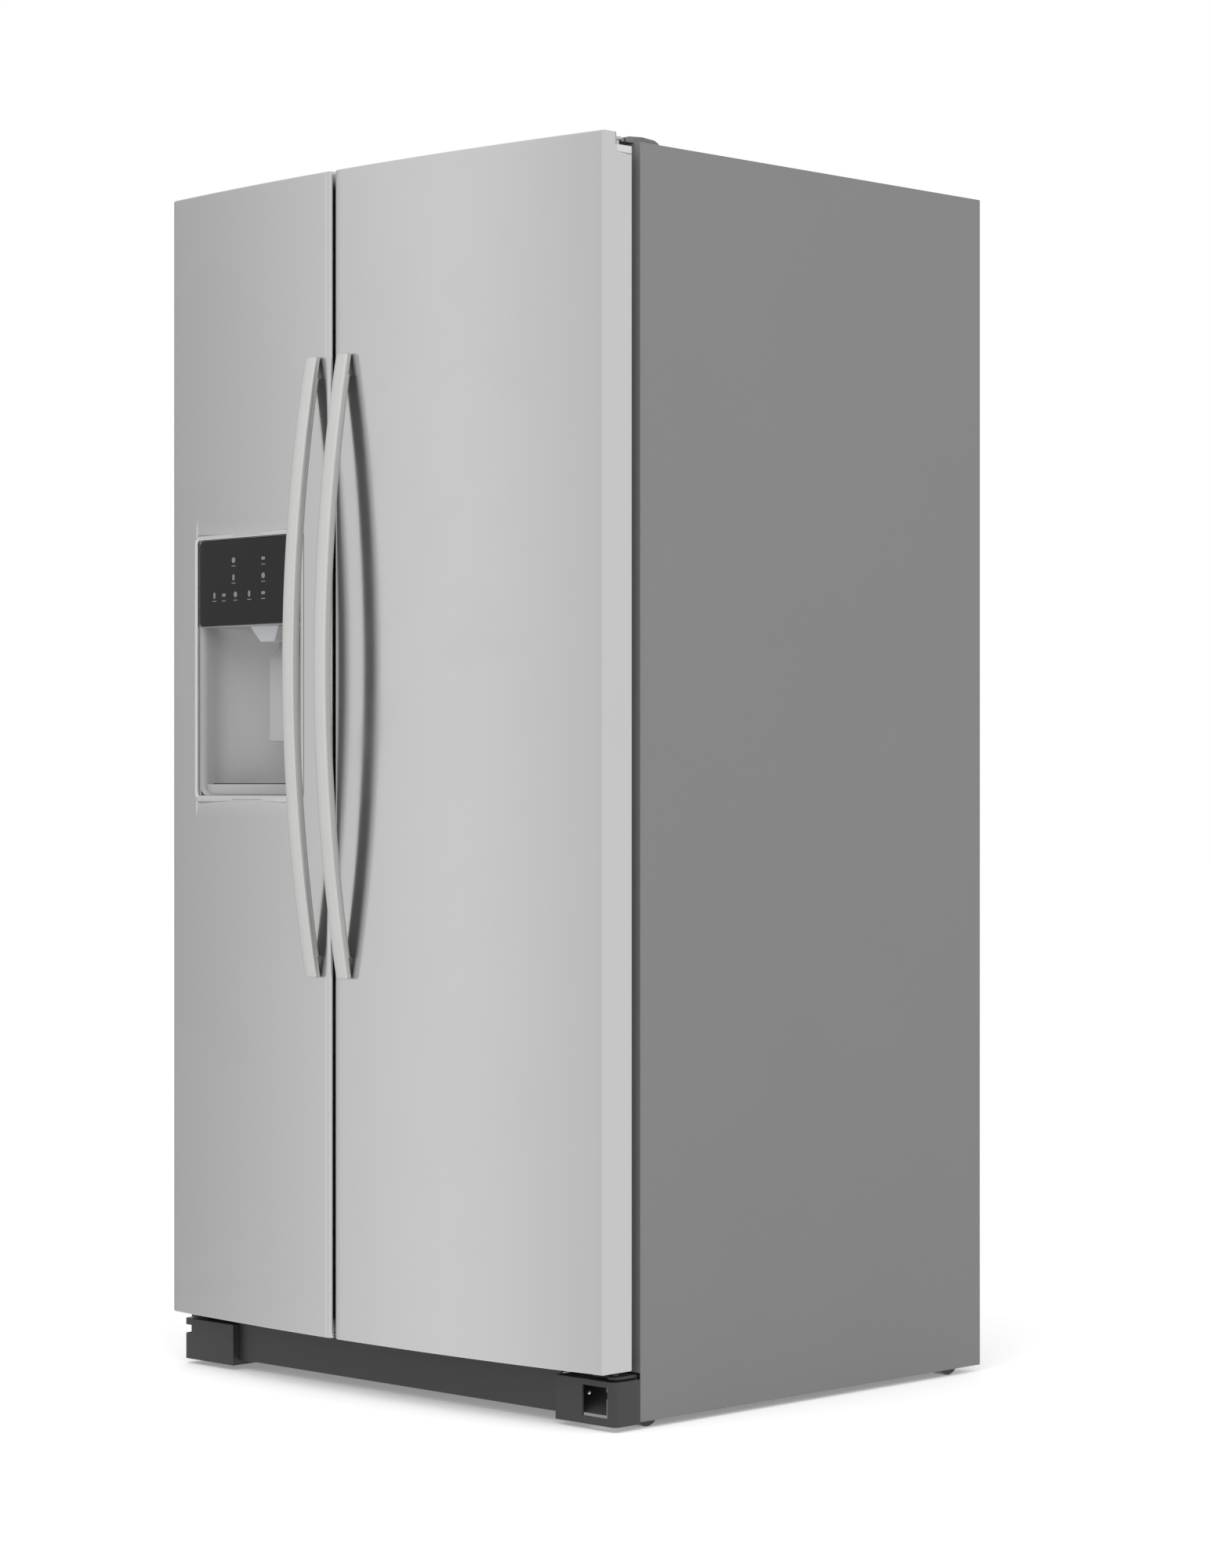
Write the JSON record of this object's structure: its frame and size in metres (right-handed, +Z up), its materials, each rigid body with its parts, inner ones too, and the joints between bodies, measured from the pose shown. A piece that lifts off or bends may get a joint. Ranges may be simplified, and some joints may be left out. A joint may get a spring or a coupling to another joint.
{
  "type": "side by side refrigerator",
  "caption": "Tall two-door refrigerator with freezer left and fridge right, bowed steel doors, bar handles and an ice and water dispenser.",
  "frame": {"origin": "on the floor, under the middle of the whole refrigerator", "axes": "+Z up, -Y towards the front (doors and handles), +X to the right as seen from the front"},
  "size_m": [0.912, 0.88, 1.753],
  "materials": {
    "cabinet_paint": "satin, fine texture",
    "foam": "matt",
    "white_plastic": "satin",
    "zinc_plate": "satin",
    "black_plastic": "satin",
    "grey_plastic": "satin",
    "shelf_glass": "clear",
    "clear_plastic": "clear",
    "door_steel": "smooth, semi gloss",
    "handle_metal": "satin",
    "gasket_rubber": "matt",
    "dispenser_trim": "satin",
    "gloss_black": "gloss",
    "light_grey_plastic": "satin"
  },
  "bodies": {
    "cabinet": {"cabinet_wrapper": "cabinet_paint", "cabinet_foam": "foam", "freezer_liner": "white_plastic", "fridge_liner": "white_plastic", "back_panel": "zinc_plate", "machine_cover": "black_plastic", "base_frame": "zinc_plate", "base_grille": "black_plastic", "corner_cover_left": "black_plastic", "corner_cover_right": "black_plastic", "bottom_hinge_left": "zinc_plate", "bottom_hinge_right": "zinc_plate", "top_hinge_left": "zinc_plate", "top_hinge_right": "zinc_plate", "hinge_cover_left": "grey_plastic", "hinge_cover_right": "grey_plastic", "compressor": "black_plastic", "evaporator_cover": "white_plastic", "ice_maker": "white_plastic", "crisper_cover": "shelf_glass", "fridge_shelf_lower": "shelf_glass", "fridge_shelf_upper": "shelf_glass", "freezer_shelf_lower": "shelf_glass", "freezer_shelf_upper": "shelf_glass"},
    "freezer_door": {"freezer_door_skin": "door_steel", "freezer_door_foam": "foam", "freezer_door_liner": "white_plastic", "freezer_door_bins": "white_plastic", "freezer_door_gasket": "gasket_rubber", "freezer_door_cap_top": "grey_plastic", "freezer_door_cap_bottom": "grey_plastic", "freezer_door_handle": "handle_metal", "dispenser_housing": "grey_plastic", "dispenser_frame": "dispenser_trim", "dispenser_panel": "gloss_black", "ice_chute": "light_grey_plastic"},
    "fridge_door": {"fridge_door_skin": "door_steel", "fridge_door_foam": "foam", "fridge_door_liner": "white_plastic", "fridge_door_bins": "white_plastic", "fridge_door_gasket": "gasket_rubber", "fridge_door_cap_top": "grey_plastic", "fridge_door_cap_bottom": "grey_plastic", "fridge_door_handle": "handle_metal"},
    "paddle": {"dispenser_paddle": "light_grey_plastic"},
    "tray": {"drip_tray": "grey_plastic"},
    "dairy_lid": {"dairy_lid": "clear_plastic"},
    "crisper_upper": {"crisper_upper": "clear_plastic"},
    "crisper_lower": {"crisper_lower": "clear_plastic"},
    "freezer_basket_upper": {"freezer_basket_upper": "white_plastic"},
    "freezer_basket_lower": {"freezer_basket_lower": "white_plastic"},
    "ice_bin": {"ice_bin": "clear_plastic"},
    "condenser_fan": {"condenser_fan": "black_plastic"},
    "evaporator_fan": {"evaporator_fan": "black_plastic"},
    "front_roller_left": {"front_roller_left": "black_plastic"},
    "front_roller_right": {"front_roller_right": "black_plastic"},
    "rear_roller_left": {"rear_roller_left": "black_plastic"},
    "rear_roller_right": {"rear_roller_right": "black_plastic"},
    "levelling_screw_left": {"levelling_screw_left": "zinc_plate"},
    "levelling_screw_right": {"levelling_screw_right": "zinc_plate"}
  },
  "joints": [
    {"name": "freezer_door_hinge", "type": "hinge", "parent": "cabinet", "child": "freezer_door", "pos_m": [-0.44, -0.32, 0.9], "axis": [0, 0, -1], "range_deg": [0, 120]},
    {"name": "fridge_door_hinge", "type": "hinge", "parent": "cabinet", "child": "fridge_door", "pos_m": [0.44, -0.32, 0.9], "axis": [0, 0, 1], "range_deg": [0, 120]},
    {"name": "paddle_pivot", "type": "hinge", "parent": "freezer_door", "child": "paddle", "pos_m": [-0.263, -0.2985, 1.098], "axis": [1, 0, 0], "range_deg": [0, 10], "stiffness_Nm_per_rad": 0.6},
    {"name": "drip_tray_slide", "type": "slide", "parent": "freezer_door", "child": "tray", "axis": [0, -1, 0], "range_m": [0, 0.03]},
    {"name": "dairy_lid_pivot", "type": "hinge", "parent": "fridge_door", "child": "dairy_lid", "pos_m": [0.186, -0.2605, 1.56], "axis": [1, 0, 0], "range_deg": [0, 80]},
    {"name": "crisper_upper_slide", "type": "slide", "parent": "cabinet", "child": "crisper_upper", "axis": [0, -1, 0], "range_m": [0, 0.2]},
    {"name": "crisper_lower_slide", "type": "slide", "parent": "cabinet", "child": "crisper_lower", "axis": [0, -1, 0], "range_m": [0, 0.2]},
    {"name": "freezer_basket_upper_slide", "type": "slide", "parent": "cabinet", "child": "freezer_basket_upper", "axis": [0, -1, 0], "range_m": [0, 0.2]},
    {"name": "freezer_basket_lower_slide", "type": "slide", "parent": "cabinet", "child": "freezer_basket_lower", "axis": [0, -1, 0], "range_m": [0, 0.2]},
    {"name": "ice_bin_slide", "type": "slide", "parent": "cabinet", "child": "ice_bin", "axis": [0, -1, 0], "range_m": [0, 0.2]},
    {"name": "condenser_fan_spin", "type": "hinge", "parent": "cabinet", "child": "condenser_fan", "pos_m": [-0.051, 0.315, 0.16], "axis": [1, 0, 0], "continuous": true},
    {"name": "evaporator_fan_spin", "type": "hinge", "parent": "cabinet", "child": "evaporator_fan", "pos_m": [-0.2507, 0.3175, 1.43], "axis": [0, 1, 0], "continuous": true},
    {"name": "front_roller_left_spin", "type": "hinge", "parent": "cabinet", "child": "front_roller_left", "pos_m": [-0.4325, -0.262, 0.022], "axis": [1, 0, 0], "continuous": true},
    {"name": "front_roller_right_spin", "type": "hinge", "parent": "cabinet", "child": "front_roller_right", "pos_m": [0.4325, -0.262, 0.022], "axis": [1, 0, 0], "continuous": true},
    {"name": "rear_roller_left_spin", "type": "hinge", "parent": "cabinet", "child": "rear_roller_left", "pos_m": [-0.4325, 0.38, 0.022], "axis": [1, 0, 0], "continuous": true},
    {"name": "rear_roller_right_spin", "type": "hinge", "parent": "cabinet", "child": "rear_roller_right", "pos_m": [0.4325, 0.38, 0.022], "axis": [1, 0, 0], "continuous": true},
    {"name": "levelling_screw_left_turn", "type": "hinge", "parent": "cabinet", "child": "levelling_screw_left", "pos_m": [-0.402, -0.2955, 0.04], "axis": [0, 1, 0], "continuous": true},
    {"name": "levelling_screw_right_turn", "type": "hinge", "parent": "cabinet", "child": "levelling_screw_right", "pos_m": [0.402, -0.2955, 0.04], "axis": [0, 1, 0], "continuous": true}
  ],
  "couplings": [
    {"joint": "crisper_upper_slide", "follows": "fridge_door_hinge", "m_per_rad": 0.0955},
    {"joint": "crisper_lower_slide", "follows": "fridge_door_hinge", "m_per_rad": 0.0955},
    {"joint": "freezer_basket_upper_slide", "follows": "freezer_door_hinge", "m_per_rad": 0.0955},
    {"joint": "freezer_basket_lower_slide", "follows": "freezer_door_hinge", "m_per_rad": 0.0955},
    {"joint": "ice_bin_slide", "follows": "freezer_door_hinge", "m_per_rad": 0.0955}
  ]
}
